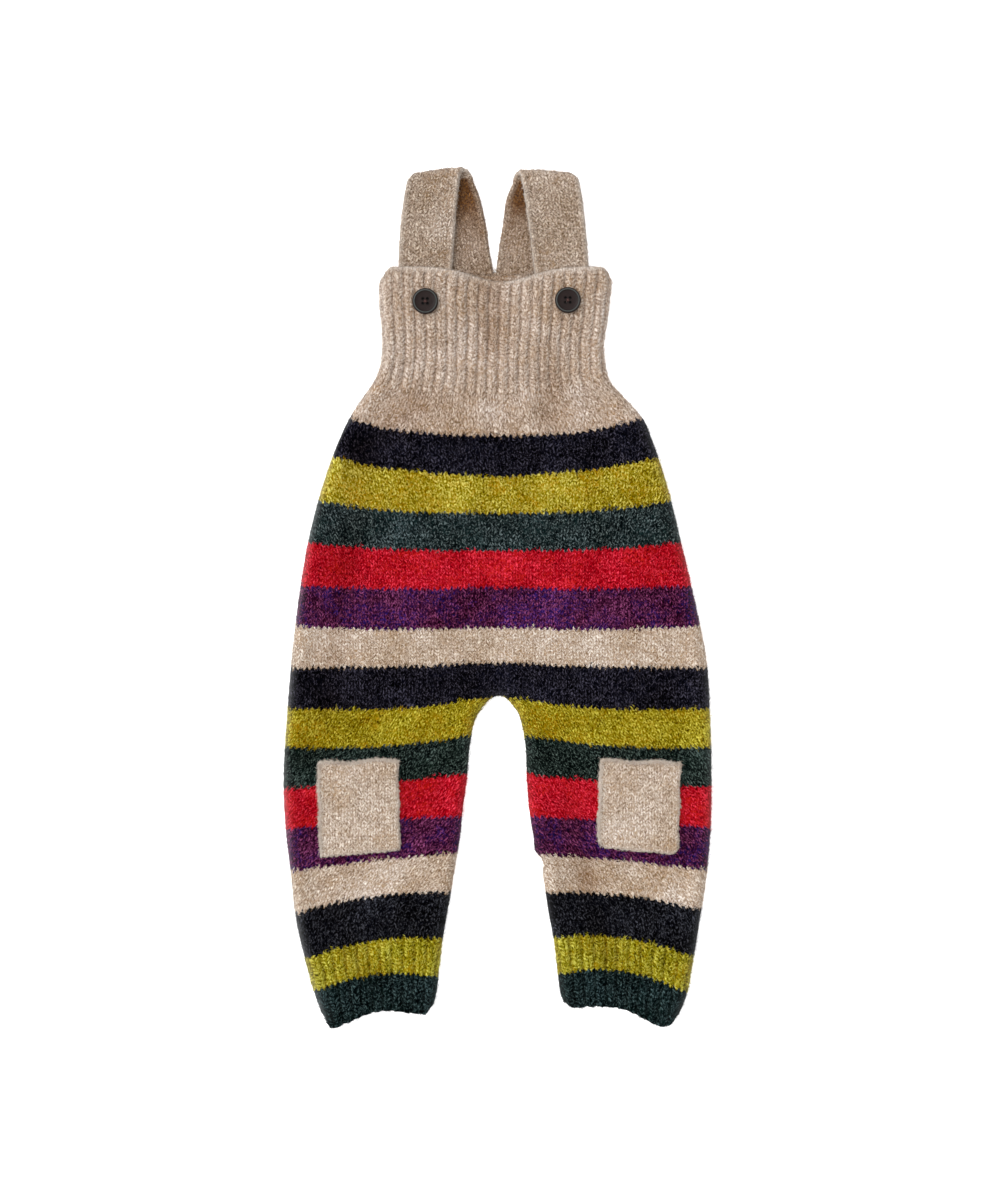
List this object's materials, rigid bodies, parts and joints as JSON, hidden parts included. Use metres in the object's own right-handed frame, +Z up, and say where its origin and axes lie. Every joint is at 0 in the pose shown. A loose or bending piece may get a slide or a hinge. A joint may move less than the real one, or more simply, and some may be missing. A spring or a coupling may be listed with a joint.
{
  "type": "baby romper",
  "caption": "Knitted wool baby dungaree romper with a ribbed bib, buttoned straps, striped body and legs and knee patches, laid flat",
  "frame": {"origin": "middle of the footprint, on the surface that the garment lies on", "axes": "+X to the right as seen from above, +Y from the leg cuffs to the straps, +Z up out of the front of the garment"},
  "size_m": [0.2996, 0.6024, 0.0141],
  "materials": {
    "oatmeal_knit": "fuzzy ribbed wool knit",
    "striped_knit": "fuzzy wool knit in stripes",
    "cuff_rib": "fuzzy ribbed wool knit in two colours",
    "strap_knit": "fuzzy wool knit",
    "patch_knit": "fuzzy wool knit",
    "button": "satin dark brown"
  },
  "bodies": {
    "root": {"bib_front": "oatmeal_knit", "bib_back": "oatmeal_knit", "body_front": "striped_knit", "body_back": "striped_knit", "leg_left_front": "striped_knit", "leg_left_back": "striped_knit", "leg_right_front": "striped_knit", "leg_right_back": "striped_knit", "cuff_left_front": "cuff_rib", "cuff_left_back": "cuff_rib", "cuff_right_front": "cuff_rib", "cuff_right_back": "cuff_rib", "strap_left": "strap_knit", "strap_right": "strap_knit", "knee_patch_left": "patch_knit", "knee_patch_right": "patch_knit", "button_left": "button", "button_right": "button"}
  },
  "joints": []
}
